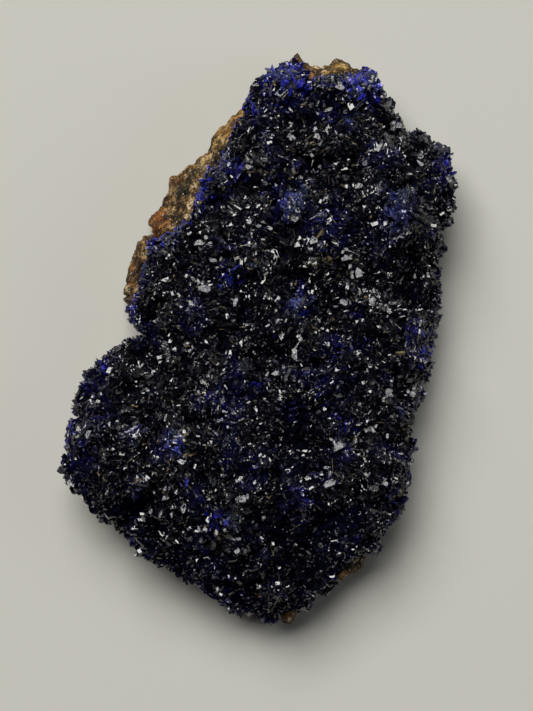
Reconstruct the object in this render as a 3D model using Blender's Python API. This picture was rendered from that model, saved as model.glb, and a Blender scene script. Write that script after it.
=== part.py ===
"""An azurite specimen: a broken slab of brown limonite under a crust of intergrown azurite crystals.

Units are metres and +Z is up. The slab lies on its flat underside with the crystals facing up. The origin is
under the middle of the specimen, on the surface that it rests on. +Y runs along its length to its narrow end.
"""

import math
import random

import bmesh
import bpy
import numpy as np
from mathutils import Matrix, Vector, noise
from mathutils.bvhtree import BVHTree
from mathutils.geometry import delaunay_2d_cdt

MM = 0.001

# The edge seen from above, counter-clockwise from the right: x and y in mm, then the width of bare rock
# between the edge and the azurite. Where that width is 0, the azurite wraps over the edge.
OUTLINE = [
    (12.7, -0.3, 0), (13.0, 1.3, 0), (13.0, 5.9, 0), (13.5, 7.0, 0), (13.4, 8.0, 0), (14.2, 8.9, 0),
    (14.0, 10.8, 0), (14.2, 12.5, 0), (13.9, 13.6, 0), (13.3, 14.2, 0), (12.5, 14.6, 0), (11.8, 15.1, 0),
    (10.7, 15.3, 0), (10.0, 16.3, 0), (9.1, 17.8, 0), (8.4, 18.9, 0), (7.8, 19.7, 0), (6.6, 20.1, 0.8),
    (5.6, 20.6, 1.3), (4.5, 20.0, 0.9), (3.6, 20.0, 0.5), (2.7, 20.9, 0.4), (1.7, 20.3, 0), (0.4, 19.4, 0),
    (-0.4, 18.3, 0), (-1.4, 17.2, 0), (-3.0, 15.4, 1.2), (-3.8, 14.2, 0.6), (-4.8, 13.2, 0.9),
    (-5.5, 12.3, 1.3), (-6.6, 11.9, 2.7), (-6.7, 11.2, 2.4), (-7.6, 9.5, 1.3), (-8.1, 8.6, 1.0),
    (-8.0, 7.8, 0.2), (-8.9, 7.2, 0.5), (-9.4, 5.6, 0.8), (-9.9, 3.6, 0.6), (-10.0, 2.3, 0),
    (-9.4, 1.5, 0), (-9.0, 0.5, 0), (-9.9, -0.1, 0), (-11.7, -1.4, 0), (-12.8, -3.1, 0), (-13.5, -4.2, 0),
    (-13.7, -5.7, 0), (-14.1, -7.6, 0), (-14.3, -8.7, 0), (-14.0, -10.5, 0), (-12.5, -11.5, 0),
    (-12.4, -12.2, 0), (-10.0, -14.4, 0), (-8.1, -15.7, 0), (-5.6, -17.5, 0), (-4.8, -17.5, 0),
    (-4.0, -18.3, 0), (-2.8, -19.0, 0), (-2.2, -19.9, 0), (-0.7, -19.9, 0), (0.9, -20.8, 0.1),
    (2.2, -20.6, 0.3), (3.6, -19.5, 0), (5.3, -18.3, 0), (6.0, -17.2, 0.3), (7.4, -16.5, 0.3),
    (8.6, -15.2, 0), (9.2, -13.9, 0), (10.1, -12.6, 0), (10.6, -11.2, 0), (10.9, -8.6, 0), (11.3, -7.9, 0),
    (10.9, -6.1, 0), (11.4, -4.9, 0), (11.9, -3.6, 0), (12.5, -2.3, 0),
]

# Broad swells and hollows of the crystal face: x, y, radius and height in mm.
SWELLS = [
    (-7.0, -7.5, 5.5, 0.9), (1.5, 9.5, 6.5, 0.6), (9.8, 10.0, 4.0, 0.5), (4.0, -8.5, 4.5, 0.5),
    (-7.0, 1.2, 3.0, -0.8), (-1.5, 0.4, 3.5, -0.4), (0.5, -14.0, 3.2, -0.5),
]
RIPPLE_HEIGHT = 0.22 * MM
RIPPLE_LENGTH = 5.6 * MM
RIPPLE_DRIFT = 9.0 * MM  # the size of the patches over which the ripples shift
RIPPLE_SHIFT = 2.2  # radians

FACE_HEIGHT = 6.9 * MM  # the crust's face over the resting surface, at the middle
EDGE_FALL = 1.7 * MM  # how far the face falls towards the edge
CRUST_THICKNESS = 1.9 * MM
CRYSTAL_REACH = 1.15 * MM  # how far crystals stand out past the crust's own surface
BARE_MARGIN = 0.45 * MM  # how far the crust's own surface stays behind the azurite's edge on bare rock
LIP_HEIGHT = 1.7 * MM  # the crust's lower lip over the resting surface, give or take LIP_WANDER
LIP_WANDER = 0.9 * MM
SEAM = 0.33 * MM  # how far the rock's surface is moved out to make the hollow that it sits in

# The rock's wall from its rim down: the height as a share of the rim's, the inset from the outline under
# azurite in mm, and the inset where the rock is bare, as a share of the bare width.
ROCK_WALL = [(1.0, 2.1, 1.0), (0.72, 1.9, 0.5), (0.42, 1.75, 0.1), (0.24, 1.7, 0.0)]
WIDE_BARE = 0.7 * MM  # a bare width at which the rock is seen from rim to foot
ROCK_LUMP = 2.6 * MM
ROCK_ROUGHNESS = 0.42 * MM
FOOT_SHARE = 0.93  # the foot's radius as a share of the wall's over it
FOOT_RISE = 0.75 * MM  # how far the foot's edge stands over the resting surface
SOLE_SHARE = 0.75  # the flat underside's radius as a share of the foot's

# The crust from the edge of its face to its wall: a share of its radius, and a drop under the face in mm.
CRUST_SHOULDER = [(0.93, 0.15), (1.0, 0.95)]
# The crust's wall down to its lip: a share of its radius, a rise over the lip in mm, and how rough it is.
CRUST_WALL = [(1.0, 1.3, 1.0), (0.97, 0.0, 0.3), (0.75, 0.2, 0.0)]
CRUST_LUMP = 0.9 * MM
CRUST_ROUGHNESS = 0.5 * MM
FACE_ROUGHNESS_SHARE = 1.7  # how much rougher the face is than the crust's wall
FACE_GRID = 2.3 * MM
ROCK_GRID = 6.0 * MM
GRID_SHAKE = 0.3  # as a share of the grid's spacing

CRYSTALS = 165
CRYSTAL_SPACING = 1.5 * MM
CRYSTAL_WIDTHS = (2.0 * MM, 3.3 * MM)
CRYSTAL_DEPTHS = (0.34, 0.62)  # as a share of the width
CRYSTAL_LENGTHS = (0.36, 0.6)  # as a share of the width
CRYSTAL_LEAN = 0.45
CRYSTAL_ROOT = 0.6 * MM  # how deep a crystal is set into the crust
BARE_CLEARANCE = 1.0 * MM  # how far crystals stay behind the crust's own edge on bare rock
COVER = 0.5 * MM  # the least crust between a crystal and the rock
CRYSTAL_SECTIONS = [
    [(-0.5, 0), (-0.28, -0.5), (0.28, -0.5), (0.5, 0), (0.28, 0.5), (-0.28, 0.5)],
    [(-0.5, -0.38), (0.38, -0.5), (0.5, 0.38), (-0.38, 0.5)],
    [(-0.5, 0.1), (-0.38, -0.5), (0.5, -0.5), (0.42, 0.5), (-0.4, 0.5)],
]
FLAT_ANGLE = math.radians(1)  # facets within this angle are one flat face
SEED = 3

AZURITE_BLUE = (0.012, 0.018, 0.11)
LIMONITE_BROWN = (0.30, 0.15, 0.06)

OUTLINE_ANGLES = [math.atan2(y, x) for x, y, _ in OUTLINE]


def clear_scene():
    for found in list(bpy.data.objects):
        bpy.data.objects.remove(found, do_unlink=True)


def make_material(name, colour, roughness):
    material = bpy.data.materials.new(name)
    material.use_nodes = True
    shader = material.node_tree.nodes["Principled BSDF"]
    shader.inputs["Base Color"].default_value = (*colour, 1)
    shader.inputs["Roughness"].default_value = roughness
    shader.inputs["Metallic"].default_value = 0
    return material


def add_object(name, mesh, material):
    made = bpy.data.objects.new(name, mesh)
    made.data.materials.append(material)
    bpy.context.scene.collection.objects.link(made)
    return made


def finish_mesh(bm, name):
    bmesh.ops.recalc_face_normals(bm, faces=bm.faces)
    mesh = bpy.data.meshes.new(name)
    bm.to_mesh(mesh)
    bm.free()
    return mesh


def smoothstep(value):
    t = min(max(value, 0.0), 1.0)
    return t * t * (3 - 2 * t)


def polar(radius, angle, z):
    return Vector((radius * math.cos(angle), radius * math.sin(angle), z))


def noise_vector(point):
    """Smooth noise in each of three directions. The three read the noise far apart, so they don't match."""
    return Vector([noise.noise(point + Vector((offset, 0, 0))) for offset in (0, 31.7, 67.3)])


def around(angle, values):
    """A value between those given for each point of the outline, in the direction of an angle."""
    return float(np.interp(angle, OUTLINE_ANGLES, values, period=math.tau))


def edge_radius(angle):
    return around(angle, [math.hypot(x, y) for x, y, _ in OUTLINE]) * MM


def bare_width(angle):
    return around(angle, [bare for _, _, bare in OUTLINE]) * MM


def face_height(x, y):
    """The crust's face over a point: highest in the middle, with swells, hollows and ripples."""
    share = math.hypot(x, y) / edge_radius(math.atan2(y, x))
    height = FACE_HEIGHT - EDGE_FALL * share**4
    for swell_x, swell_y, radius, rise in SWELLS:
        distance = math.hypot(x - swell_x * MM, y - swell_y * MM) / (radius * MM)
        height += rise * MM * math.exp(-distance * distance)
    shift = RIPPLE_SHIFT * noise.noise(Vector((x, y, 0)) / RIPPLE_DRIFT)
    return height + RIPPLE_HEIGHT * math.sin(math.tau * y / RIPPLE_LENGTH + shift)


def rock_height(x, y):
    return face_height(x, y) - CRUST_THICKNESS


def inner_points(loop, spacing, height_at):
    """Points on a shaken grid inside a loop round the middle, at the heights that height_at gives."""
    chooser = random.Random(SEED)
    reach = [point.xy.length - 0.5 * spacing for point in loop]
    count = math.ceil(max(reach) / spacing)
    points = []
    for row in range(-count, count + 1):
        for column in range(-count, count + 1):
            x = (column + 0.5 * (row % 2) + chooser.uniform(-GRID_SHAKE, GRID_SHAKE)) * spacing
            y = (row + chooser.uniform(-GRID_SHAKE, GRID_SHAKE)) * spacing
            if math.hypot(x, y) < around(math.atan2(y, x), reach):
                points.append(Vector((x, y, height_at(x, y))))
    return points


def cap_loop(bm, loop, inner):
    """Fills a loop of vertices with triangles through the inner vertices, as seen from above."""
    corners = [*loop, *inner]
    border = [(k, (k + 1) % len(loop)) for k in range(len(loop))]
    seen_from_above = [vertex.co.xy / MM for vertex in corners]
    _, _, triangles, sources, _, _ = delaunay_2d_cdt(seen_from_above, border, [], 1, 1e-4)
    for triangle in triangles:
        bm.faces.new([corners[sources[i][0]] for i in triangle])


def ring_solid(name, rings, top_points):
    """A closed mesh from the top points down through rings of equal count. The last ring is its underside."""
    bm = bmesh.new()
    loops = [[bm.verts.new(point) for point in ring] for ring in rings]
    cap_loop(bm, loops[0], [bm.verts.new(point) for point in top_points])
    for upper, lower in zip(loops, loops[1:]):
        for k in range(len(upper)):
            after = (k + 1) % len(upper)
            bm.faces.new((upper[k], lower[k], lower[after], upper[after]))
    bm.faces.new(loops[-1])
    bmesh.ops.triangulate(bm, faces=[face for face in bm.faces if len(face.verts) > 3])
    return finish_mesh(bm, name)


def wall_ring(height_share, covered_inset, bare_share):
    """One ring of the rock's wall, a row of ROCK_WALL."""
    ring = []
    for angle in OUTLINE_ANGLES:
        bare = bare_width(angle)
        exposed = smoothstep(bare / WIDE_BARE)
        inset = covered_inset * MM * (1 - exposed) + bare_share * bare * exposed
        point = polar(edge_radius(angle) - inset, angle, 0)
        point.z = rock_height(point.x, point.y) * height_share
        lump = noise_vector(point / ROCK_LUMP) * ROCK_ROUGHNESS
        ring.append(point + polar(lump.x - 0.4 * ROCK_ROUGHNESS, angle, lump.z))
    return ring


def rock_mesh(name):
    """The slab of rock: a broken wall that turns in at the foot, over a flat underside."""
    walls = [wall_ring(*row) for row in ROCK_WALL]
    foot = [Vector((point.x, point.y, 0)) * FOOT_SHARE for point in walls[-1]]
    for point in foot:
        point.z = FOOT_RISE + noise.noise(point / ROCK_LUMP) * ROCK_ROUGHNESS
    sole = [Vector((point.x, point.y, 0)) * SOLE_SHARE for point in foot]
    for point in sole:
        point.z = 0
    return ring_solid(name, [*walls, foot, sole], inner_points(walls[0], ROCK_GRID, rock_height))


def crust_radius(angle):
    bare = bare_width(angle)
    return edge_radius(angle) - max(bare + BARE_MARGIN * smoothstep(bare / (0.3 * MM)), CRYSTAL_REACH)


def lip_height(angle):
    """The crust's lower lip, which wanders up and down as it goes round."""
    return LIP_HEIGHT + LIP_WANDER * noise.noise(polar(2.4, angle, 5))


def roughen(point, amount=1.0):
    return point + noise_vector(point / CRUST_LUMP) * CRUST_ROUGHNESS * amount


def shoulder_ring(share, drop):
    """A ring of the crust under its face, a row of CRUST_SHOULDER."""
    ring = [polar(crust_radius(angle) * share, angle, 0) for angle in OUTLINE_ANGLES]
    for point in ring:
        point.z = face_height(point.x, point.y) - drop * MM
    return [roughen(point) for point in ring]


def lip_ring(share, rise, amount):
    """A ring of the crust over its lower lip, a row of CRUST_WALL."""
    ring = [polar(crust_radius(angle) * share, angle, lip_height(angle)) for angle in OUTLINE_ANGLES]
    return [roughen(point + Vector((0, 0, rise * MM)), amount) for point in ring]


def crust_mesh(name):
    """The crust as a solid pillow, before the rock is cut out of it."""
    shoulder = [shoulder_ring(*row) for row in CRUST_SHOULDER]
    wall = [lip_ring(*row) for row in CRUST_WALL]
    face = [roughen(p, FACE_ROUGHNESS_SHARE) for p in inner_points(shoulder[0], FACE_GRID, face_height)]
    return ring_solid(name, [*shoulder, *wall], face)


def is_good_site(point, rock_bvh):
    """Whether a crystal at a point has crust under it, and leaves the bare rock and the lip clear."""
    angle = math.atan2(point.y, point.x)
    clearance = BARE_CLEARANCE * smoothstep(bare_width(angle) / (0.4 * MM))
    nearest, outward, _, _ = rock_bvh.find_nearest(point)
    return (
        point.xy.length < crust_radius(angle) + CRUST_ROUGHNESS - clearance
        and point.z > lip_height(angle) + CRYSTAL_ROOT
        and (point - nearest).dot(outward) > COVER
    )


def crystal_sites(crust, rock_bvh, chooser):
    """Points on the crust's outside, spread by a least spacing, each with the surface's normal."""
    crust.calc_loop_triangles()
    triangles = [
        tuple(crust.vertices[i].co for i in triangle.vertices)
        for triangle in crust.loop_triangles
        if triangle.normal.z > -0.2
    ]
    areas = np.cumsum([(b - a).cross(c - a).length for a, b, c in triangles])
    sites = []
    for _ in range(40 * CRYSTALS):
        a, b, c = triangles[int(np.searchsorted(areas, chooser.random() * areas[-1]))]
        u, v = sorted((chooser.random(), chooser.random()))
        point = a * u + b * (v - u) + c * (1 - v)
        spaced = all((point - other).length > CRYSTAL_SPACING for other, _ in sites)
        if spaced and is_good_site(point, rock_bvh):
            sites.append((point, (b - a).cross(c - a).normalized()))
        if len(sites) == CRYSTALS:
            break
    return sites


def add_crystal(bm, placing, section, width, depth, length):
    """A tabular crystal along local +Z: a flattened prism that ends in a slanting chisel edge."""
    corners = [(x * width, y * depth) for x, y in section]
    base = [bm.verts.new(placing @ Vector((x, y, -CRYSTAL_ROOT))) for x, y in corners]
    shoulder = [bm.verts.new(placing @ Vector((x, y, (0.6 + 0.25 * x / width) * length))) for x, y in corners]
    left = bm.verts.new(placing @ Vector((-0.24 * width, 0, 0.88 * length)))
    right = bm.verts.new(placing @ Vector((0.26 * width, 0, length)))
    bm.faces.new(tuple(reversed(base)))
    for k, (x, _) in enumerate(corners):
        after = (k + 1) % len(corners)
        bm.faces.new((base[k], base[after], shoulder[after], shoulder[k]))
        side = (x + corners[after][0]) / width
        if abs(side) > 0.5:
            bm.faces.new((shoulder[k], shoulder[after], right if side > 0 else left))
        else:
            ends = (right, left) if corners[k][1] < 0 else (left, right)
            bmesh.ops.triangulate(bm, faces=[bm.faces.new((shoulder[k], shoulder[after], *ends))])


def crystals_mesh(name, sites, chooser):
    bm = bmesh.new()
    for point, normal in sites:
        section = chooser.choice(CRYSTAL_SECTIONS)
        width = chooser.uniform(*CRYSTAL_WIDTHS)
        depth = width * chooser.uniform(*CRYSTAL_DEPTHS)
        length = width * chooser.uniform(*CRYSTAL_LENGTHS)
        lean = Vector((chooser.gauss(0, 1), chooser.gauss(0, 1), chooser.gauss(0, 1))) * CRYSTAL_LEAN
        turn = (normal + lean).to_track_quat("Z", "Y").to_matrix().to_4x4()
        spin = Matrix.Rotation(chooser.uniform(0, math.tau), 4, "Z")
        add_crystal(bm, Matrix.Translation(point) @ turn @ spin, section, width, depth, length)
    return finish_mesh(bm, name)


def grown_mesh(name, mesh, distance):
    """A copy of a mesh whose surface is moved out by a distance."""
    grown = mesh.copy()
    grown.name = name
    normals = [vertex.normal.copy() for vertex in mesh.vertices]
    for vertex, normal in zip(grown.vertices, normals):
        vertex.co += normal * distance
    return grown


def as_cutter(made):
    made.hide_render = True
    made.display_type = "WIRE"
    return made


def add_boolean(target, name, operation, other):
    modifier = target.modifiers.new(name, "BOOLEAN")
    modifier.operation = operation
    modifier.object = other
    modifier.use_self = operation == "UNION"


def largest_island(bm):
    unseen, largest = set(bm.verts), set()
    while unseen:
        island, fresh = set(), {unseen.pop()}
        while fresh:
            island |= fresh
            fresh = {edge.other_vert(v) for v in fresh for edge in v.link_edges} - island
        unseen -= island
        largest = max(largest, island, key=len)
    return largest


def apply_as_one_body(made):
    """Applies the modifiers, and drops the pockets that the crystals seal in and any chip that came loose."""
    graph = bpy.context.evaluated_depsgraph_get()
    mesh = bpy.data.meshes.new_from_object(made.evaluated_get(graph))
    made.modifiers.clear()
    made.data = mesh
    bm = bmesh.new()
    bm.from_mesh(mesh)
    kept = largest_island(bm)
    bmesh.ops.delete(bm, geom=[vertex for vertex in bm.verts if vertex not in kept], context="VERTS")
    bmesh.ops.dissolve_limit(bm, angle_limit=FLAT_ANGLE, verts=bm.verts, edges=bm.edges)
    bmesh.ops.triangulate(bm, faces=bm.faces)
    bm.to_mesh(mesh)
    bm.free()


def main():
    clear_scene()
    chooser = random.Random(SEED)
    azurite = make_material("azurite", AZURITE_BLUE, 0.15)
    limonite = make_material("limonite", LIMONITE_BROWN, 0.85)

    rock = add_object("limonite_matrix", rock_mesh("limonite_matrix"), limonite)
    crust = add_object("azurite_crust", crust_mesh("azurite_crust"), azurite)

    hollow = as_cutter(add_object("rock_hollow", grown_mesh("rock_hollow", rock.data, SEAM), limonite))
    rock_bvh = BVHTree.FromPolygons(
        [vertex.co for vertex in hollow.data.vertices],
        [tuple(face.vertices) for face in hollow.data.polygons],
    )
    sites = crystal_sites(crust.data, rock_bvh, chooser)
    crystals = as_cutter(add_object("crystals", crystals_mesh("crystals", sites, chooser), azurite))
    add_boolean(crust, "grow_crystals", "UNION", crystals)
    add_boolean(crust, "hollow_for_rock", "DIFFERENCE", hollow)
    apply_as_one_body(crust)


main()
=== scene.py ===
"""Looks of the azurite specimen: a druse of thousands of small azurite crystals on a slab of brown limonite.

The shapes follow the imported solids. The crust's solid is smoothed into the ground that the crystals grow
from, and the rock's solid is given its broken, pitted surface. Lengths are in metres, and MM turns
millimetres to them.
"""

import math

import bpy
import numpy as np
from mathutils import Matrix, Vector, noise
from mathutils.bvhtree import BVHTree
from mathutils.kdtree import KDTree


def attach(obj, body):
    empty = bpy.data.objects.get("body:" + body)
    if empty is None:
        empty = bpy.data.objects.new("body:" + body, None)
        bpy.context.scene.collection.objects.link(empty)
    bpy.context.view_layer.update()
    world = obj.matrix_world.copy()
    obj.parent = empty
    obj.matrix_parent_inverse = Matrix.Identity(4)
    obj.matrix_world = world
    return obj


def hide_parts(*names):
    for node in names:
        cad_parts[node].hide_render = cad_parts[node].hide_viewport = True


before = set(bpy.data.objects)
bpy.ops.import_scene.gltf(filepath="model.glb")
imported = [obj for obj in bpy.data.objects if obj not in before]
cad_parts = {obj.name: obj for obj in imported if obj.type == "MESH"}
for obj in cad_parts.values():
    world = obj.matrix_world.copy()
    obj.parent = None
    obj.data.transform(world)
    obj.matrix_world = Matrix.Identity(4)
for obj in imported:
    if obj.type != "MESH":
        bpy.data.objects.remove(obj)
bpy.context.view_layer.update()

MM = 0.001
SEED = 20
TINY = 1e-20  # keeps a length that is divided by from being nothing

# The camera looks straight down. Its frame is 711 pixels high, each 0.072 mm wide at the specimen's edge.
PIXEL = 0.072 * MM
FRAME_HEIGHT = 711 * PIXEL
FRAME_MIDDLE = (0.47 * MM, -1.08 * MM)
FRAME_LEVEL = 3.2 * MM
LENS = 100.0
SENSOR = 36.0
CLIP_START = 0.01

# The lights, each as a direction from the specimen, a distance, a size, a radiance and a colour.
LIGHTS = {
    "softbox": {
        "direction": Vector((-0.2, 0.53, 0.82)).normalized(), "distance": 0.9, "size": (0.64, 0.59),
        "radiance": 8.9, "colour": (1.0, 0.985, 0.94),
    },
    "fill": {
        "direction": Vector((0.8, 0.1, 0.55)).normalized(), "distance": 0.9, "size": (0.6, 0.4),
        "radiance": 1.2, "colour": (0.92, 0.96, 1.0),
    },
}
# Faces turned these ways show the lights to the camera.
FACINGS = {name: (light["direction"] + Vector((0, 0, 1))).normalized() for name, light in LIGHTS.items()}
# The studio round the specimen: pale walls, and a dark ceiling that they turn to between two heights.
WALL_COLOUR = (0.36, 0.36, 0.34)
CEILING_COLOUR = (0.006, 0.006, 0.007)
HORIZON = (0.07, 0.15)
FLOOR_HALF = 0.6

# Layers of crystals that grow from the ground. Widths and spacings are in mm, thickness and length are
# shares of the width, upright is how far they stand up, lying is how far they lie down, and blue and earth
# are how much they take part in the blue patches and the rock dust.
FINE = {
    "count": 9500, "width": (0.17, 0.46), "thickness": (0.12, 0.4), "length": (1.0, 2.6),
    "spacing": 0, "upright": 0.8, "lying": 0, "blue": 1, "earth": 0,
}
GROUND_LAYERS = {
    "azurite_large": {
        **FINE, "count": 300, "width": (0.9, 1.3), "thickness": (0.1, 0.4), "length": (0.7, 1.3),
        "spacing": 1.1, "blue": 0.4,
    },
    "azurite_medium": {
        **FINE, "count": 3600, "width": (0.5, 0.85), "thickness": (0.1, 0.4), "length": (0.7, 1.4),
        "spacing": 0.42, "blue": 0.85,
    },
    "azurite_fine_1": FINE,
    "azurite_fine_2": FINE,
}
# Layers that settle on what those layers leave in sight.
DUST = {
    "count": 14000, "width": (0.09, 0.26), "thickness": (0.2, 0.5), "length": (1.0, 2.6),
    "upright": 0.5, "lying": 0, "blue": 1, "earth": 0.07,
}
TOP_LAYERS = {
    "azurite_dust_1": DUST,
    "azurite_dust_2": DUST,
    "azurite_needles": {
        "count": 7000, "width": (0.02, 0.04), "thickness": (0.6, 1.0), "length": (10, 30),
        "upright": 0.1, "lying": 0.9, "blue": 1, "earth": 0.4,
    },
}
LEAN = 0.35  # how far a crystal's top may be sheared to a side
ROOTED = 0.35  # how much of its length is below the surface
TOP_LEVEL = 9.0 * MM  # no crystal of these layers is meant to reach higher
SPARE_PLACES = 1.6  # how many places are drawn for each crystal of a layer that is kept apart
# Neighbouring crystals point nearly the same way, within patches of their own.
GRAIN_COUNT = 800
GRAIN_ORDER = 0.8
# In the dark places crystals are denser, and where the ground faces up there, they are also more upright
# and less spun and rough, and their colour is painted less blue and so darker, as painted shade. The facing
# is the upward share where that begins, and its further width.
HOLLOW_DENSER = 1.0
HOLLOW_FACING = (0.2, 0.4)
HOLLOW_UPRIGHT = 5.0
HOLLOW_UNSPUN = 0.85
HOLLOW_SMOOTH = 0.9
# painted shade: how much less blue, and so darker, the crystals are in the hollows and furrows
HOLLOW_PAINTED_SHADE = 0.8
HOLLOW_HIDES = 0.5  # from this darkness on, no crystal has a face that shows a light
SHOWN = math.cos(math.radians(14))  # how nearly a face is turned to show it

SIGHT = 15 * MM  # how far off the lines start that find what is in sight
SIGHT_SPREAD = 0.9  # how far those lines stray from the ground's normals
LOWEST_FACING = -0.3  # crystals stand where the ground faces at least this far up
OPEN_START = 0.03 * MM
OPEN_SPACE = 0.9 * MM  # the open space that the ground has over it where crystals stand
# The finest crystals leave patches bare: below which noise, how ragged, and how much more in the dark.
DUST_BARE = -0.4
DUST_FRAY = 0.25
DUST_SHUNS_DARK = 1.2
NEEDLE_MARGIN = 1.6 * MM  # how far inside the edge the needles stay

# Crystals are smaller and shorter at the edge: the share that they have there, and what each mm adds.
EDGE_SIZE = (0.75, 0.2)
BARE_EDGE_SIZE = (0.4, 0.35)
EDGE_LENGTH = (0.6, 0.25)
BARE_FROM = 0.15 * MM  # the width of bare rock from which an edge counts as bare
SIZE_SWELL = 0.35  # how much larger or smaller they are from place to place
SIZE_STEEPNESS = 2

GROUND_VOXEL = 0.25 * MM
GROUND_SMOOTHING = 60
GROUND_LIFT = 0.15 * MM
GROUND_RELIEF = (0.3, 0.3)  # how high its broad and its fine relief are, in mm
GROUND_LUMPS = (0.9, 0.7)  # how high the broad and the fine lumps of its face are, in mm
GROUND_FACETS = 0.1 * MM  # how far its points are scattered, so that it breaks up into facets
GROUND_CALM = 0.7  # how much less they are scattered in the dark
GROUND_MARGIN = 0.42 * MM  # how far the ground stays behind the outline, for the crystals
BARE_MARGIN = 0.25 * MM  # how much further where the rock is bare
GROUND_BARE = 0.4 * MM  # the width of bare rock at which that is full
GROUND_PULL = (0.5, 0.45)  # the share of its radius from which it is moved, and over how much more
FACE_LEVEL = (3 * MM, 2 * MM)  # the level at which the crystal face begins, and over how much more
RIM_STEPS = 240

# The specimen's outline as x and y in mm, and the width of bare rock inside it. It is part.py's own
# outline, drawn finer along the bare rock.
OUTLINE = [
    (12.7, -0.3, 0), (13.0, 1.3, 0), (13.0, 5.9, 0), (13.5, 7.0, 0), (13.4, 8.0, 0), (14.2, 8.9, 0),
    (14.0, 10.8, 0), (14.2, 12.5, 0), (13.9, 13.6, 0), (13.3, 14.2, 0), (12.5, 14.6, 0), (11.8, 15.1, 0),
    (10.7, 15.3, 0), (10.0, 16.3, 0), (9.1, 17.8, 0), (8.4, 18.9, 0), (7.8, 19.7, 0), (6.6, 20.1, 0.8),
    (5.6, 20.6, 1.3), (4.5, 20.0, 0.9), (3.6, 20.0, 0.5), (2.7, 20.9, 0.4), (1.7, 20.3, 0), (0.4, 19.4, 0),
    (-0.4, 18.3, 0), (-1.4, 16.9, 0.6), (-2.5, 15.8, 1.4), (-3.2, 15.3, 1.7), (-3.6, 14.7, 1.5),
    (-3.6, 14.0, 0.8), (-4.0, 13.7, 0.8), (-4.9, 12.9, 1.4), (-6.0, 12.0, 2.4), (-6.6, 11.9, 2.9),
    (-6.7, 10.8, 2.3), (-7.3, 9.5, 1.7), (-8.0, 8.9, 1.5), (-8.1, 8.2, 0.9), (-7.9, 7.8, 0.3),
    (-8.4, 7.7, 0.3), (-8.8, 7.2, 0.5), (-9.1, 6.5, 0.8), (-9.5, 5.3, 0.9), (-9.7, 4.4, 0.8),
    (-9.9, 3.5, 0.5), (-10.0, 2.3, 0),
    (-9.4, 1.5, 0), (-9.0, 0.5, 0), (-9.9, -0.1, 0), (-11.7, -1.4, 0), (-12.8, -3.1, 0), (-13.5, -4.2, 0),
    (-13.7, -5.7, 0), (-14.1, -7.6, 0), (-14.3, -8.7, 0), (-14.0, -10.5, 0), (-12.5, -11.5, 0),
    (-12.4, -12.2, 0), (-10.0, -14.4, 0), (-8.1, -15.7, 0), (-5.6, -17.5, 0), (-4.8, -17.5, 0),
    (-4.0, -18.3, 0), (-2.8, -19.0, 0), (-2.2, -19.9, 0), (-0.7, -19.9, 0), (0.9, -20.8, 0.1),
    (2.2, -20.6, 0.3), (3.6, -19.5, 0), (5.3, -18.3, 0), (6.0, -17.2, 0.3), (7.4, -16.5, 0.3),
    (8.6, -15.2, 0), (9.2, -13.9, 0), (10.1, -12.6, 0), (10.6, -11.2, 0), (10.9, -8.6, 0), (11.3, -7.9, 0),
    (10.9, -6.1, 0), (11.4, -4.9, 0), (11.9, -3.6, 0), (12.5, -2.3, 0),
]
OUTLINE_ANGLES = [math.atan2(y, x) for x, y, _ in OUTLINE]

# Patches, here and below: x, y and radius in mm, and how strong they are. In these, thin crystals are blue.
BLUE_PATCHES = [
    (1.7, 18.8, 1.9, 1.0), (7.3, 18.4, 1.9, 1.0), (-1.2, 16.9, 0.9, 1.0), (-4.0, 12.1, 0.8, 1.0),
    (-4.4, 10.3, 0.9, 1.0), (-5.7, 8.5, 0.8, 1.0), (-7.8, 6.7, 0.9, 1.0), (-8.9, 3.8, 0.5, 1.0),
    (-9.5, 2.0, 0.8, 1.0), (-11.2, -1.7, 0.6, 0.8), (-13.5, -6.9, 0.7, 0.8), (-2.1, 4.4, 0.8, 0.9),
    (2.6, 2.8, 0.8, 0.9), (1.6, 8.5, 0.4, 0.8), (5.1, 8.7, 0.5, 0.9), (-6.0, -7.4, 0.55, 0.8),
    (-5.3, -9.7, 0.35, 0.9), (-3.0, -12.4, 0.7, 0.8), (-0.1, -3.2, 0.4, 0.9), (6.2, -5.9, 0.7, 0.8),
    (7.3, -0.1, 0.4, 1.0), (11.9, -0.7, 1.0, 0.8), (2.2, 9.8, 0.8, 0.7), (9.4, 9.0, 1.0, 0.7),
    (-2.2, 12.1, 0.9, 0.7), (4.6, 15.7, 0.6, 0.7), (6.3, 15.6, 0.6, 0.7), (3.3, -11.1, 0.7, 0.6),
    (2.4, -5.1, 0.8, 0.6), (-12.2, -3.4, 0.7, 0.8), (-12.6, -7.4, 0.6, 0.7), (13.0, 12.3, 0.7, 0.7),
]
# The palest of them, where the crystals look milky.
MILKY_PATCHES = [
    (2.2, 9.8, 0.9, 1.0), (9.4, 9.2, 1.0, 0.9), (2.5, 2.8, 0.6, 0.9), (-5.6, -7.6, 0.7, 0.8),
    (-6.2, 8.0, 0.6, 0.8), (-4.9, 10.4, 0.5, 0.7), (-8.6, 5.2, 0.5, 0.7), (1.4, 18.6, 0.9, 0.6),
    (6.9, 18.2, 0.8, 0.5), (-0.3, 5.2, 0.5, 0.5), (6.6, 15.4, 0.6, 0.5), (-1.4, -12.6, 0.5, 0.5),
]
# The edge is blue as well, partly the thin crystals' own blue and partly painted rim light: how blue along
# bare rock and elsewhere, over what width that fades, and how many such widths in it ends.
EDGE_BLUE_AND_RIM_LIGHT = (1.0, 0.35)
EDGE_BLUE_WIDTH = 0.95 * MM
EDGE_BLUE_END = 1.3
BLUE_SPREAD = (0.0, 1.3)  # how blue single crystals are against their place
COVER_SPREAD = (0.3, 1.0)  # how milky or dusty single crystals are against theirs
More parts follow.
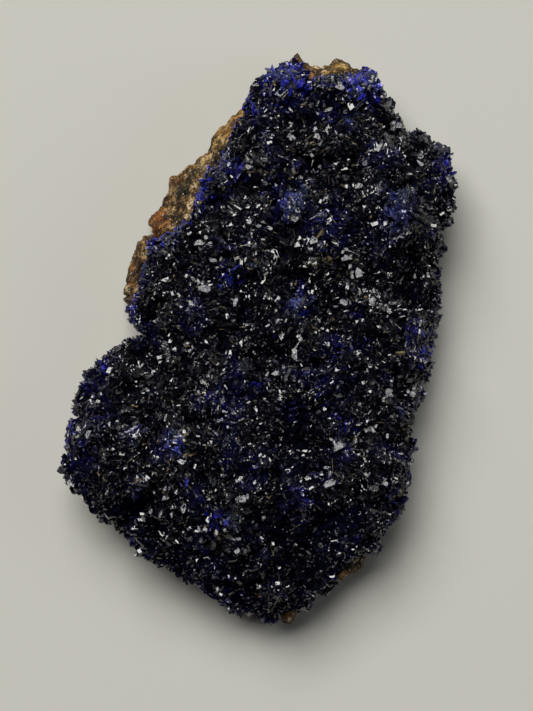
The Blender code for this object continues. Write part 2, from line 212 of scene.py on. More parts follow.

# Hollows of the crystal face, lowered, where it looks black: there the crystals' colour is painted darker as
# shade.
HOLLOWS = [
    (-5.0, -15.4, 3.0, 1.0), (-1.4, -16.4, 3.2, 1.0), (-8.6, -13.0, 2.8, 1.0), (4.3, -14.4, 3.2, 1.0),
    (1.4, -18.6, 2.6, 1.0), (7.4, -13.0, 2.4, 0.8), (2.9, -6.9, 2.5, 0.9), (-7.2, -0.3, 1.7, 0.5),
    (-2.2, 0.0, 1.9, 0.5), (-1.4, -3.6, 1.1, 0.5), (7.2, 7.2, 1.3, 0.7), (3.6, 15.5, 1.0, 0.6),
    (10.1, 4.7, 1.5, 0.5), (7.2, -1.4, 1.4, 0.4), (-11.0, -11.0, 1.8, 0.6), (1.5, -12.9, 2.0, 1.0),
    (6.0, -12.6, 2.0, 0.9), (3.2, -16.8, 2.6, 1.0),
]
HOLLOW_DEPTH = 1.0 * MM
# Furrows run across the face between the rows of crystals, lowered too, and are about half as dark: their
# crystals' colour is painted darker as shade there as well.
FURROW_DEPTH = 0.3 * MM
FURROW_STRETCH = 0.4  # how fast they vary along X, against along Y
FURROW_MARGIN = 2.2 * MM  # how far inside the edge they reach their full darkness
FURROW_DARKNESS = 0.45
# They run where their noise is low: how low, and how steeply they then deepen.
FURROW_RARITY = 0.3
FURROW_STEEPNESS = 4

# Places on the rock that are golden, red-brown, and dark.
GOLD_ROCK = [
    (-1.8, 16.2, 0.6, 1.0), (-2.6, 15.2, 0.7, 1.0), (-3.3, 14.4, 0.6, 1.0), (-4.4, 13.1, 0.4, 0.5),
    (5.5, 19.9, 0.8, 0.7), (3.6, 20.0, 0.4, 0.5),
]
RED_ROCK = [
    (-7.6, 8.6, 0.9, 1.0), (-9.2, 5.3, 0.4, 0.8), (-9.4, 4.2, 0.3, 0.7), (-4.9, 12.7, 0.3, 0.6),
    (5.9, 20.3, 0.3, 0.5),
]
DARK_ROCK = [
    (-5.7, 10.9, 0.6, 1.0), (-9.8, 3.2, 0.7, 0.85), (-4.6, 12.2, 0.5, 0.7), (-9.5, 5.9, 0.3, 0.8),
    (-8.2, 7.9, 0.3, 0.7),
]
TINT_LEVEL = 2.1 * MM  # how high on the rock those places are
TINT_BLEND = 1.2 * MM  # how far below it they fade out
TINT_FRAY = 0.5  # and how raggedly
ROCK_VOXEL = 0.18 * MM
ROCK_SMOOTHING = 2
ROCK_RELIEF = (0.3, 0.2, 0.15)  # how high its broad relief, its ridges and its fine relief are, in mm
# Ridges run where their noise is near zero: their top, and how steeply they fall. Pits are low, and their
# colour is painted darker as shade.
RIDGE_TOP = 0.4
RIDGE_STEEPNESS = 2
PITS_FROM = 0.1
# painted shade: how much darker the rock's colour is in the pits
PIT_PAINTED_SHADE = 0.8
SOLE_HEIGHT = 0.5 * MM  # below this the relief fades out, for a flat underside
ROCK_MARGIN = 0.13 * MM  # how far the rock goes beyond the outline, because it lies lower and looks smaller
ROCK_BARE = 0.3 * MM
ROCK_PULL = (0.6, 0.3)

# Every kind of patch: its rows, how ragged its border is, and the number of the noise that frays it.
PATCHES = {
    "blue": (BLUE_PATCHES, 1.2, 3), "milky": (MILKY_PATCHES, 1.2, 6), "hollow": (HOLLOWS, 0.6, 4),
    "gold": (GOLD_ROCK, 0.6, 16), "red": (RED_ROCK, 0.6, 9), "dark": (DARK_ROCK, 0.8, 10),
}
PATCH_END = 1.5  # how many radii out the borders end
PATCH_FRAY = 0.8 * MM
# The other noises over the specimen: the length of their features, and a number that sets each apart.
NOISES = {
    "size": (3.5 * MM, 1), "dust": (1.5 * MM, 21), "furrow": (1.0 * MM, 22),
    "ground_broad": (1.7 * MM, 11), "ground_fine": (0.7 * MM, 12),
    "lumps_broad": (2.0 * MM, 24), "lumps_fine": (1.0 * MM, 25),
    "rock_broad": (1.5 * MM, 7), "rock_ridges": (0.8 * MM, 13), "rock_fine": (0.38 * MM, 8),
}
NOISE_SHIFT = (17.3, 5.1)
# Broad, faint tints: the same two of their noise, how steeply they follow it, from what level, up to what.
DRIFTS = {
    "blue": (2.2 * MM, 5, 1.8, 0.15, 0.33), "red": (2.6 * MM, 14, 1.6, 0.2, 0.5),
    "dark": (2.2 * MM, 15, 1.8, 0.3, 0.45),
}

# The largest crystals whose flat faces catch the light: x and y in mm, width and height in mm, and a turn.
GLINTS = [
    (-3.9, 3.6, 1.25, 0.65, -15), (-0.7, 12.1, 0.85, 0.6, 30), (-0.7, 8.4, 0.85, 0.7, 55),
    (-4.2, 6.8, 1.3, 0.5, 5), (3.7, 6.9, 0.7, 0.6, 15), (6.0, 5.7, 0.9, 0.5, 10),
    (6.8, 4.7, 0.6, 0.9, 20), (5.9, 2.6, 0.8, 0.5, -30), (7.8, 2.7, 0.6, 0.5, 60),
    (2.2, 14.1, 0.7, 0.5, 20), (4.0, 14.1, 0.6, 0.5, -20), (4.8, 16.3, 0.8, 0.4, 10),
    (5.6, 17.7, 0.8, 0.5, -25), (9.8, 15.2, 0.6, 0.5, 0), (11.4, 13.0, 0.7, 0.4, 40),
    (-3.2, 5.6, 0.6, 0.45, 0), (-1.7, 2.6, 0.9, 0.35, 70), (1.2, -2.3, 0.8, 0.45, 15),
    (9.0, -3.6, 0.8, 0.6, 50), (10.8, -3.8, 0.7, 0.5, -10), (5.4, -7.4, 0.9, 0.6, 25),
    (7.8, -6.2, 0.7, 0.5, 0), (4.8, -10.0, 1.2, 0.6, 20), (8.8, -10.0, 0.8, 0.5, -35),
    (-1.2, -11.0, 0.6, 0.6, 0), (-1.6, -14.7, 0.55, 0.5, 30), (-6.6, -11.0, 0.6, 0.4, 10),
    (-3.8, -13.2, 0.4, 0.3, 0),
]
GLINT_THICKNESS = 0.3 * MM
GLINT_SUNK = 0.2  # the share of it that lies below the surface
GLINT_REACH = 0.3  # the share of its height within which the surface is looked up
GLINT_ERROR = 0.05  # how far off the softbox it faces
GLINT_LEAN = 0.3
# The smaller ones about each, in the same units.
COMPANIONS = {
    "count": 5, "reach": 0.6, "width": (0.15, 0.35), "height": (0.25, 0.55), "turn": 60, "error": 0.1,
}

# What is stored for the material: how blue, milky, rough and dusty the ground and the large crystals are.
GROUND_LOOKS = {"blue": 0.0, "milky": 0.0, "shade": 0.1, "earth": 0.0}
GLINT_LOOKS = {"blue": 0.1, "milky": 0.0, "shade": 1.0, "earth": 0.0}

# The materials' colours. In a row of stops, each is a position and its colour.
AZURITE_COLOURS = [
    (0.0, (0.0016, 0.0017, 0.0055)), (0.3, (0.004, 0.004, 0.04)),
    (0.65, (0.008, 0.01, 0.17)), (1.0, (0.018, 0.021, 0.44)),
]
MILKY_COLOUR = (0.2, 0.25, 0.42)
DUST_COLOURS = [(0.35, (0.08, 0.072, 0.045)), (0.5, (0.14, 0.115, 0.06)), (0.65, (0.25, 0.18, 0.085))]
ROCK_COLOURS = {
    "brown": [
        (0.43, (0.004, 0.003, 0.002)), (0.475, (0.045, 0.022, 0.007)), (0.515, (0.15, 0.08, 0.026)),
        (0.555, (0.32, 0.2, 0.075)), (0.61, (0.66, 0.5, 0.3)),
    ],
    "gold": [
        (0.4, (0.03, 0.016, 0.003)), (0.47, (0.19, 0.1, 0.018)),
        (0.53, (0.38, 0.23, 0.055)), (0.62, (0.7, 0.5, 0.2)),
    ],
    "red": [(0.4, (0.05, 0.013, 0.002)), (0.5, (0.19, 0.058, 0.005)), (0.6, (0.4, 0.16, 0.022))],
    "dark": [(0.42, (0.003, 0.003, 0.002)), (0.52, (0.02, 0.017, 0.009)), (0.62, (0.13, 0.11, 0.05))],
}
DARK_SPECK_COLOUR = (0.025, 0.016, 0.009)
PALE_SPECK_COLOUR = (0.6, 0.52, 0.38)
FLOOR_COLOUR = (0.545, 0.54, 0.503)
# Their gloss. A range is what a value of 0 to 1 turns to.
AZURITE_IOR = 1.75
AZURITE_ROUGHNESS = (0.05, 0.32)
ROCK_ROUGHNESS = (0.7, 0.5)
FLOOR_ROUGHNESS = 0.9
DULL_SPECULAR = 0.2
# Their noises: the length of the features, the detail and the roughness.
DUST_NOISE = (0.5 * MM, 2, 0.5)
FACE_NOISE = (0.13 * MM, 2, 0.5)
ROCK_NOISE = (1.1 * MM, 9, 0.75)
ROCK_BUMP_NOISE = (0.2 * MM, 8, 0.7)
# Streaks, etched places and specks: the same, and the values of the noise over which they come up.
STREAKS = (0.1 * MM, 3, 0.5, 0.46, 0.6)
ETCHED = (0.3 * MM, 2, 0.5, 0.56, 0.6)
ETCHED_WEIGHT = 0.6
DARK_SPECKS = (0.24 * MM, 3, 0.6, 0.54, 0.59)
PALE_SPECKS = (0.14 * MM, 2, 0.5, 0.64, 0.7)
# Bumps, as a strength and a distance.
AZURITE_BUMP = (0.7, 0.06 * MM)
ROCK_BUMP = (1.0, 0.12 * MM)


# ---- meshes


def add_object(name, data):
    made = bpy.data.objects.new(name, data)
    bpy.context.scene.collection.objects.link(made)
    return made


def add_piece(name, mesh, material):
    mesh.materials.clear()
    mesh.materials.append(material)
    return add_object(name, mesh)


def mesh_from_arrays(name, points, triangles):
    """A flat-shaded mesh from arrays."""
    mesh = bpy.data.meshes.new(name)
    mesh.vertices.add(len(points))
    mesh.vertices.foreach_set("co", points.astype(np.float32).ravel())
    mesh.loops.add(3 * len(triangles))
    mesh.loops.foreach_set("vertex_index", triangles.astype(np.int32).ravel())
    mesh.polygons.add(len(triangles))
    mesh.polygons.foreach_set("loop_start", np.arange(0, 3 * len(triangles), 3, dtype=np.int32))
    mesh.update(calc_edges=True)
    mesh.validate()
    mesh.shade_flat()
    return mesh


def add_attribute(mesh, name, values):
    layer = mesh.attributes.new(name, "FLOAT", "POINT")
    layer.data.foreach_set("value", np.asarray(values, dtype=np.float32))


def read(items, key, kind):
    """Three numbers of each of a mesh's items."""
    values = np.empty(3 * len(items), dtype=kind)
    items.foreach_get(key, values)
    return values.reshape(-1, 3)


def as_arrays(mesh):
    """A mesh's points and triangles as arrays."""
    mesh.calc_loop_triangles()
    points = read(mesh.vertices, "co", np.float32).astype(float)
    return points, read(mesh.loop_triangles, "vertices", np.int32)


def remeshed(cad_node, name, voxel, smoothing):
    """A copy of a CAD node's shape as an even mesh, smoothed a number of times."""
    made = add_object(name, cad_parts[cad_node].data.copy())
    remesh = made.modifiers.new("Remesh", "REMESH")
    remesh.mode = "VOXEL"
    remesh.voxel_size = voxel
    remesh.adaptivity = 0
    smooth = made.modifiers.new("Smooth", "SMOOTH")
    smooth.iterations = smoothing
    mesh = bpy.data.meshes.new_from_object(made.evaluated_get(bpy.context.evaluated_depsgraph_get()))
    bpy.data.objects.remove(made)
    mesh.name = name
    return mesh


def main_body(points, triangles):
    """The points and triangles of the largest connected part: remeshing can leave specks beside it."""
    labels = np.arange(len(points))
    while True:
        spread = labels.copy()
        np.minimum.at(spread, triangles.ravel(), np.repeat(labels[triangles].min(axis=1), 3))
        spread = spread[spread]
        if (spread == labels).all():
            break
        labels = spread
    kept = labels == np.bincount(labels).argmax()
    numbers = np.cumsum(kept) - 1
    return points[kept], numbers[triangles[kept[triangles[:, 0]]]]


def surface_tree(meshes):
    points, triangles, count = [], [], 0
    for mesh in meshes:
        own_points, own_triangles = as_arrays(mesh)
        points.append(own_points)
        triangles.append(own_triangles + count)
        count += len(own_points)
    return BVHTree.FromPolygons(np.concatenate(points).tolist(), np.concatenate(triangles).tolist())


def tree_of(points):
    tree = KDTree(len(points))
    for index, point in enumerate(points.tolist()):
        tree.insert(point, index)
    tree.balance()
    return tree


# ---- the outline


def around(angles, values):
    """Values given at the outline's points, read at any angles."""
    return np.interp(angles, OUTLINE_ANGLES, values, period=math.tau)


def crust_rim(angles):
    """The radius at which the azurite ends, and the width of bare rock outside it."""
    outline = around(angles, [math.hypot(x, y) for x, y, _ in OUTLINE]) * MM
    bare = around(angles, [bare for _, _, bare in OUTLINE]) * MM
    return outline - bare, bare


def smoothstep(values):
    t = np.clip(values, 0, 1)
    return t * t * (3 - 2 * t)


def rise(values, start, width):
    """A smooth rise from 0 to 1 that begins at a start and takes a width."""
    return smoothstep((values - start) / width)


def rims(points):
    """Each point's radius, the largest that the points have at its angle, and the azurite's edge there."""
    angles = np.arctan2(points[:, 1], points[:, 0])
    radii = np.hypot(points[:, 0], points[:, 1])
    step = np.floor((angles / math.tau + 0.5) * RIM_STEPS).astype(int) % RIM_STEPS
    rim = np.zeros(RIM_STEPS)
    np.maximum.at(rim, step, radii)
    middles = ((np.arange(RIM_STEPS) + 0.5) / RIM_STEPS - 0.5) * math.tau
    return radii, np.interp(angles, middles, rim, period=math.tau), *crust_rim(angles)


def moved_out(points, scale):
    return points * np.stack([scale, scale, np.ones(len(points))], axis=1)


def fitted_ground(points):
    """Moves the ground's rim in or out, so that it runs just inside the azurite's edge."""
    radii, own_rim, rim, bare = rims(points)
    margin = GROUND_MARGIN + BARE_MARGIN * rise(bare, 0, GROUND_BARE)
    pull = rise(radii / own_rim, *GROUND_PULL)
    return moved_out(points, 1 + pull * ((rim - margin) / own_rim - 1))


def fitted_rock(points):
    """Moves the rock's bare edge out to the outline."""
    radii, own_rim, rim, bare = rims(points)
    pull = rise(radii / own_rim, *ROCK_PULL) * rise(bare, 0, ROCK_BARE)
    return moved_out(points, 1 + pull * ((rim + bare + ROCK_MARGIN) / own_rim - 1))


def rim_distance(points):
    """How far inside the azurite's edge each point is, seen from above, and the width of bare rock there."""
    rim, bare = crust_rim(np.arctan2(points[:, 1], points[:, 0]))
    return rim - np.hypot(points[:, 0], points[:, 1]), bare


# ---- places on the specimen


def smooth_noise(points, length, number):
    """Blender's noise at each point, for features of a length. Each number gives another noise."""
    shift = Vector((number * NOISE_SHIFT[0], number * NOISE_SHIFT[1], 0))
    return np.array([noise.noise(Vector(point) / length + shift) for point in points.tolist()])


def drift(points, kind):
    """How strong a broad, faint tint is at each point."""
    length, number, steepness, level, most = DRIFTS[kind]
    return np.clip(smooth_noise(points, length, number) * steepness - level, 0, most)


def patch_share(points, kind):
    """How strongly the patches of a kind cover each point: 1 inside, with a ragged border."""
    rows, raggedness, number = PATCHES[kind]
    ragged = raggedness * smooth_noise(points, PATCH_FRAY, number)
    share = np.zeros(len(points))
    for x, y, radius, strength in rows:
        distance = np.hypot(points[:, 0] - x * MM, points[:, 1] - y * MM) / (radius * MM)
        share = np.maximum(share, strength * smoothstep(PATCH_END - distance + ragged))
    return share


def furrow_share(points):
    """How deep in a furrow each point is, from 0 to 1."""
    squeezed = points * [FURROW_STRETCH, 1, 1]
    return smoothstep(-FURROW_RARITY - FURROW_STEEPNESS * smooth_noise(squeezed, *NOISES["furrow"]))


def darkness(points):
    """How much each point lies in a hollow or a furrow, from 0 to 1; the crystals' colour is painted darker
    with it, as shade.
    """
    inside, _ = rim_distance(points)
    furrow = FURROW_DARKNESS * furrow_share(points) * rise(inside, 0, FURROW_MARGIN)
    return np.maximum(patch_share(points, "hollow"), furrow)


def blueness(places, dice):
    """How blue each crystal is: by the named patches, along the thin edges as partly painted rim light, and a
    little everywhere.
    """
    inside, bare = rim_distance(places)
    # partly painted rim light: crystals along the whole edge are bluer
    edge = np.where(bare > BARE_FROM, *EDGE_BLUE_AND_RIM_LIGHT) * smoothstep(EDGE_BLUE_END - inside / EDGE_BLUE_WIDTH)
    blue = np.maximum(patch_share(places, "blue"), np.maximum(edge, drift(places, "blue")))
    return np.clip(blue * dice.uniform(*BLUE_SPREAD, len(places)), 0, 1)


def looks_of(layer, places, hollow, dice):
    """Each crystal's looks, by its layer, its place and chance."""
    count = len(places)
    earthy = dice.random(count) < layer["earth"]
    milky = patch_share(places, "milky") * dice.uniform(*COVER_SPREAD, count)
    return {
        # painted shade: crystals in the dark hollows and furrows are made less blue, and so darker
        "blue": blueness(places, dice) * layer["blue"] * (1 - HOLLOW_PAINTED_SHADE * hollow),
        "milky": milky * layer["blue"],
        "shade": dice.random(count) * (1 - HOLLOW_SMOOTH * hollow),
        "earth": earthy * dice.uniform(*COVER_SPREAD, count),
    }


def share_inside(inside, least, added):
    """A share that is least at the edge, and has more added with each mm inside it, up to 1."""
    return np.clip(least + added * inside / MM, least, 1)


def size_share(places):
    """How large crystals are there: smaller at the edge, and most of all where that is over bare rock."""
    inside, bare = rim_distance(places)
    over_rock, elsewhere = share_inside(inside, *BARE_EDGE_SIZE), share_inside(inside, *EDGE_SIZE)
    swell = 1 + SIZE_SWELL * np.clip(smooth_noise(places, *NOISES["size"]) * SIZE_STEEPNESS, -1, 1)
    return np.where(bare > BARE_FROM, over_rock, elsewhere) * swell


# ---- crystal forms


RIDGE_SIDE = 0.5  # a side whose two x add up to less runs along the ridge, not past an end of it


def prism(section, top_heights, ridge):
    """A crystal that stands on z = 0: a section's corners carried up to their own heights, under a ridge."""
    count = len(section)
    points = [(x, y, 0) for x, y in section]
    points += [(x, y, h) for (x, y), h in zip(section, top_heights)]
    points += list(ridge)
    left, right = 2 * count, 2 * count + len(ridge) - 1
    triangles = [(0, k + 1, k) for k in range(1, count - 1)]
    for k in range(count):
        after = (k + 1) % count
        low, high = (k, after), (count + k, count + after)
        triangles += [(low[0], low[1], high[1]), (low[0], high[1], high[0])]
        middle = section[k][0] + section[after][0]
        if abs(middle) > RIDGE_SIDE or left == right:
            triangles.append((high[0], high[1], right if middle > 0 else left))
        elif section[k][1] < 0:
            triangles += [(high[0], high[1], right), (high[0], right, left)]
        else:
            triangles += [(high[0], high[1], left), (high[0], left, right)]
    return np.array(points, dtype=float), np.array(triangles)


def tablet(profile, bevel, tilt):
    """A flat crystal on its edge: a profile in x and z, 1 thick in y, with bevelled edges on one side."""
    count = len(profile)
    centre_x = sum(x for x, _ in profile) / count
    centre_z = sum(z for _, z in profile) / count
    back = [(x, 0.5 - tilt * x, z) for x, z in profile]
    front = [
        (centre_x + (x - centre_x) * bevel, -0.5 + tilt * x, centre_z + (z - centre_z) * bevel)
        for x, z in profile
    ]
    triangles = []
    for k in range(1, count - 1):
        triangles += [(0, k, k + 1), (count, count + k + 1, count + k)]
    for k in range(count):
        after = (k + 1) % count
        triangles += [(k, count + after, after), (k, count + k, count + after)]
    return np.array(back + front, dtype=float), np.array(triangles)


SIX_SIDED = [(-0.5, 0), (-0.28, -0.5), (0.28, -0.5), (0.5, 0), (0.28, 0.5), (-0.28, 0.5)]
FOUR_SIDED = [(-0.5, -0.4), (0.4, -0.5), (0.5, 0.4), (-0.4, 0.5)]
SMALL_FORMS = [
    tablet([(-0.4, 0), (0.4, 0), (0.5, 0.7), (-0.3, 1.0)], 0.8, 0.15),
    prism([(-0.5, -0.3), (0.5, -0.4), (0.1, 0.5)], [0.75, 0.9, 0.8], [(0, 0, 1.0)]),
]
FORMS = [
    tablet([(-0.5, 0), (0.42, 0), (0.5, 0.45), (0.12, 1.0), (-0.42, 0.62)], 0.82, 0.0),
    tablet([(-0.45, 0), (0.5, 0), (0.34, 0.8), (-0.12, 1.0), (-0.5, 0.55)], 0.86, 0.25),
    tablet([(-0.36, 0), (0.36, 0), (0.5, 0.5), (0.22, 0.95), (-0.3, 0.9), (-0.5, 0.42)], 0.78, 0.0),
    tablet([(-0.3, 0), (0.3, 0), (0.5, 0.6), (-0.1, 1.0)], 0.8, 0.15),
    prism(FOUR_SIDED, [0.6, 0.78, 0.74, 0.62], [(-0.26, 0, 0.9), (0.26, 0, 1.0)]),
    prism(SIX_SIDED, [0.5, 0.62, 0.7, 0.66, 0.72, 0.6], [(-0.2, 0, 0.9), (0.24, 0, 1.0)]),
]
TABLET_FORMS = 4  # how many of them are tablets, which come first
NEARLY_ALONG_Y = 0.95  # from this share of Y on, an axis counts as lying along it


def unit(vectors):
    return vectors / np.linalg.norm(vectors, axis=1, keepdims=True)


def rotations(axes, spins):
    """Rotation matrices that turn local +Z to each axis, after a spin about it.

    Without a spin, local +X is square to Y, or to Z where the axis lies nearly along Y.
    """
    helper = np.where(np.abs(axes[:, 1:2]) < NEARLY_ALONG_Y, [[0, 1.0, 0]], [[0, 0, 1.0]])
    side = unit(np.cross(helper, axes))
    other = np.cross(axes, side)
    cos, sin = np.cos(spins)[:, None], np.sin(spins)[:, None]
    return np.stack([side * cos + other * sin, other * cos - side * sin, axes], axis=2)


def shows_light(points, triangles):
    """Which crystals have a face in which the camera sees one of the lights."""
    corners = points[:, triangles]
    crossed = np.cross(corners[:, :, 1] - corners[:, :, 0], corners[:, :, 2] - corners[:, :, 0])
    lengths = np.maximum(np.linalg.norm(crossed, axis=2), TINY)
    turned = np.max([crossed @ np.array(facing) for facing in FACINGS.values()], axis=0) / lengths
    return turned.max(axis=1) > SHOWN


class Crystals:
    """Gathers crystals, then writes them out as one mesh."""

    def __init__(self):
        self.points, self.triangles = [], []
        self.looks = {look: [] for look in GROUND_LOOKS}
        self.count = 0

    def add(self, form, places, turns, sizes, shears, looks, hidden=False):
        """Adds one crystal of a form for each row of the arrays.

        Those that are hidden are left out if a face of theirs shows a light.
        """
        base_points, base_triangles = form
        shaped = np.repeat(base_points[None], len(places), axis=0) * sizes[:, None, :]
        shaped[:, :, 0] += shears[:, None] * shaped[:, :, 2]
        points = np.einsum("nij,nkj->nki", turns, shaped) + places[:, None, :]
        kept = ~(hidden & shows_light(points, base_triangles))
        points = points[kept]
        offsets = self.count + len(base_points) * np.arange(len(points))
        self.points.append(points.reshape(-1, 3))
        self.triangles.append((base_triangles[None] + offsets[:, None, None]).reshape(-1, 3))
        for look, values in looks.items():
            self.looks[look].append(np.repeat(np.asarray(values)[kept], len(base_points)))
        self.count += len(points) * len(base_points)

    def mesh(self, name):
        mesh = mesh_from_arrays(name, np.concatenate(self.points), np.concatenate(self.triangles))
        for look, values in self.looks.items():
            add_attribute(mesh, look, np.concatenate(values))
        return mesh


# ---- where crystals grow


def ground_sites(ground, rock):
    """Where crystals can stand on the ground: its triangles that have open space over them."""
    points, triangles = as_arrays(ground)
    corners = points[triangles]
    crossed = np.cross(corners[:, 1] - corners[:, 0], corners[:, 2] - corners[:, 0])
    area = np.linalg.norm(crossed, axis=1)
    normals = crossed / np.maximum(area[:, None], TINY)
    centres = corners.mean(axis=1) + normals * OPEN_START
    tree = surface_tree([ground, rock])
    is_open = np.array([
        normal[2] > LOWEST_FACING and tree.ray_cast(Vector(centre), Vector(normal), OPEN_SPACE)[0] is None
        for centre, normal in zip(centres.tolist(), normals.tolist())
    ])
    density = area * (1 + HOLLOW_DENSER * darkness(centres))
    return corners[is_open], normals[is_open], density[is_open]


def scatter(sites, count, dice):
    corners, normals, density = sites
    picked = dice.choice(len(density), count, p=density / density.sum())
    u = np.sort(dice.random((count, 2)), axis=1)
    weights = np.stack([u[:, 0], u[:, 1] - u[:, 0], 1 - u[:, 1]], axis=1)
    return np.einsum("nk,nkj->nj", weights, corners[picked]), normals[picked]


def spaced(places, spacing):
    """Which places are left when each drops the later ones within its spacing."""
    tree = tree_of(places)
    kept = np.ones(len(places), dtype=bool)
    for index, place in enumerate(places.tolist()):
        if kept[index]:
            for _, other, _ in tree.find_range(place, spacing):
                if other > index:
                    kept[other] = False
    return kept


def random_directions(count, dice, length=1):
    directions = dice.normal(size=(count, 3))
    return length * directions / np.linalg.norm(directions, axis=1, keepdims=True)


def exposed_sites(tree, sites, layer, dice):
    """Places and normals that can be seen from outside, found along random lines towards the ground."""
    targets, normals = scatter(sites, layer["count"], dice)
    directions = normals + random_directions(len(targets), dice, SIGHT_SPREAD)
    places, outward = [], []
    for target, direction in zip(targets.tolist(), directions.tolist()):
        away = Vector(direction).normalized()
        place, normal, _, _ = tree.ray_cast(Vector(target) + away * SIGHT, -away)
        if place is not None:
            places.append(place[:])
            outward.append(normal[:] if normal.dot(away) > 0 else (-normal)[:])
    places, outward = np.array(places), np.array(outward)
    kept = left_covered(places, dice)
    if layer["lying"]:
        inside, _ = rim_distance(places)
        kept &= inside > NEEDLE_MARGIN
    return places[kept], outward[kept]


def left_covered(places, dice):
    """Which places are outside the patches that the finest crystals leave bare."""
    density = smooth_noise(places, *NOISES["dust"]) - DUST_SHUNS_DARK * darkness(places)
    return density + DUST_FRAY * dice.normal(size=len(places)) > DUST_BARE


def spaced_sites(sites, layer, dice):
    """Where a layer's crystals stand on the ground, kept apart by its spacing."""
    if not layer["spacing"]:
        return scatter(sites, layer["count"], dice)
    places, normals = scatter(sites, int(layer["count"] * SPARE_PLACES), dice)
    kept = spaced(places, layer["spacing"] * MM)
    return places[kept][: layer["count"]], normals[kept][: layer["count"]]


def make_grains(sites, dice):
    """Patches of crystals that point alike: a tree of their middles, their directions and their spins."""
    middles, _ = scatter(sites, GRAIN_COUNT, dice)
    spins = dice.uniform(-math.pi, math.pi, GRAIN_COUNT)
    return tree_of(middles), random_directions(GRAIN_COUNT, dice), spins


# ---- growing crystals


def standing_axes(layer, normals, hollow, grain_directions, dice):
    """The way each crystal points: mostly with its grain, and up from the ground, or along it if it lies."""
    own = random_directions(len(normals), dice)
    directions = unit(GRAIN_ORDER * grain_directions + (1 - GRAIN_ORDER) * own)
    directions -= layer["lying"] * normals * np.sum(directions * normals, axis=1, keepdims=True)
    return unit(directions + normals * (layer["upright"] * (1 + HOLLOW_UPRIGHT * hollow))[:, None])


def crystal_sizes(layer, places, dice):
    """Each crystal's width, thickness and length."""
    count = len(places)
    width = dice.uniform(*layer["width"], count) * MM * size_share(places)
    thickness = width * dice.uniform(*layer["thickness"], count)
    inside, _ = rim_distance(places)
    length = width * dice.uniform(*layer["length"], count) * share_inside(inside, *EDGE_LENGTH)
    return np.stack([width, thickness, length], axis=1)


def rooted(places, axes, sizes):
    """Sinks each crystal into the surface, and further where it would reach above the top level."""
    width, length = sizes[:, 0], sizes[:, 2]
    places = places - axes * (ROOTED * length)[:, None]
    reach = axes[:, 2] * length + 0.5 * width * np.sqrt(1 - axes[:, 2] ** 2)
    places[:, 2] = np.minimum(places[:, 2], TOP_LEVEL - reach)
    return places


def grow(layer, forms, places, normals, grains, dice):
    """A layer's crystals at the places, of any of the forms."""
    dark = darkness(places)
    hollow = dark * rise(normals[:, 2], *HOLLOW_FACING)
    tree, directions, spins = grains
    grain = np.array([tree.find(place)[1] for place in places.tolist()])
    axes = standing_axes(layer, normals, hollow, directions[grain], dice)
    sizes = crystal_sizes(layer, places, dice)
    places = rooted(places, axes, sizes)
    looks = looks_of(layer, places, hollow, dice)
    own_spins = dice.uniform(-math.pi, math.pi, len(places)) * (1 - GRAIN_ORDER)
    turns = rotations(axes, (spins[grain] + own_spins) * (1 - HOLLOW_UNSPUN * hollow))
    shears = dice.uniform(-LEAN, LEAN, len(places)) * (1 - layer["lying"])
    kinds = dice.integers(0, len(forms), len(places))
    crystals = Crystals()
    for kind, form in enumerate(forms):
        of_kind = kinds == kind
        own_looks = {look: values[of_kind] for look, values in looks.items()}
        own = [values[of_kind] for values in (places, turns, sizes, shears)]
        crystals.add(form, *own, own_looks, hidden=dark[of_kind] > HOLLOW_HIDES)
    return crystals


def level_around(tree, x, y, reach):
    """How high the surface stands near a place, seen from above: the highest of five points."""
    heights = []
    for offset_x, offset_y in ((0, 0), (reach, 0), (-reach, 0), (0, reach), (0, -reach)):
        place, _, _, _ = tree.ray_cast(Vector((x + offset_x, y + offset_y, SIGHT)), Vector((0, 0, -1)))
        if place is not None:
            heights.append(place.z)
    return max(heights, default=0)


def with_companions(dice):
    """The named crystals, each followed by smaller ones about it, and how far off the softbox they face."""
    for x, y, width, height, turn in GLINTS:
        yield x, y, width, height, turn, GLINT_ERROR
        for _ in range(COMPANIONS["count"]):
            across, along = dice.normal(size=2) * COMPANIONS["reach"]
            width, height = (dice.uniform(*COMPANIONS[size]) for size in ("width", "height"))
            own_turn = turn + dice.uniform(-COMPANIONS["turn"], COMPANIONS["turn"])
            yield x + across, y + along, width, height, own_turn, COMPANIONS["error"]


def facing_axes(turn, error, dice):
    """The normal and the upward direction of a face that shows the softbox, and what turns a crystal so."""
    face = (FACINGS["softbox"] + Vector(dice.normal(size=3).tolist()) * error).normalized()
    up = Matrix.Rotation(math.radians(turn), 3, "Z") @ Vector((0, 1, 0))
    up = (up - face * up.dot(face)).normalized()
    side = up.cross(face * -1)
    return face, up, np.array([[side[i], -face[i], up[i]] for i in range(3)])


def glints(tree, dice):
    """Crystals with a flat face in which the camera sees the softbox."""
    crystals = Crystals()
    looks = {look: [value] for look, value in GLINT_LOOKS.items()}
    for x, y, width, height, turn, error in with_companions(dice):
        x, y, width, height = x * MM, y * MM, width * MM, height * MM
        face, up, turned = facing_axes(turn, error, dice)
        level = min(level_around(tree, x, y, GLINT_REACH * height), TOP_LEVEL - GLINT_THICKNESS)
        if level == 0:
            continue
        place = Vector((x, y, level)) - up * height * 0.5 - face * GLINT_SUNK * GLINT_THICKNESS
        form = FORMS[int(dice.integers(0, TABLET_FORMS))]
        size = (width, GLINT_THICKNESS, height)
        shear = dice.uniform(-GLINT_LEAN, GLINT_LEAN)
        crystals.add(form, np.array([place]), turned[None], np.array([size]), np.array([shear]), looks)
    return crystals


# ---- materials


def put(tree, socket, value):
    """Links a socket to another one, or sets it to a plain value."""
    if isinstance(value, bpy.types.NodeSocket):
        tree.links.new(value, socket)
    else:
        socket.default_value = value


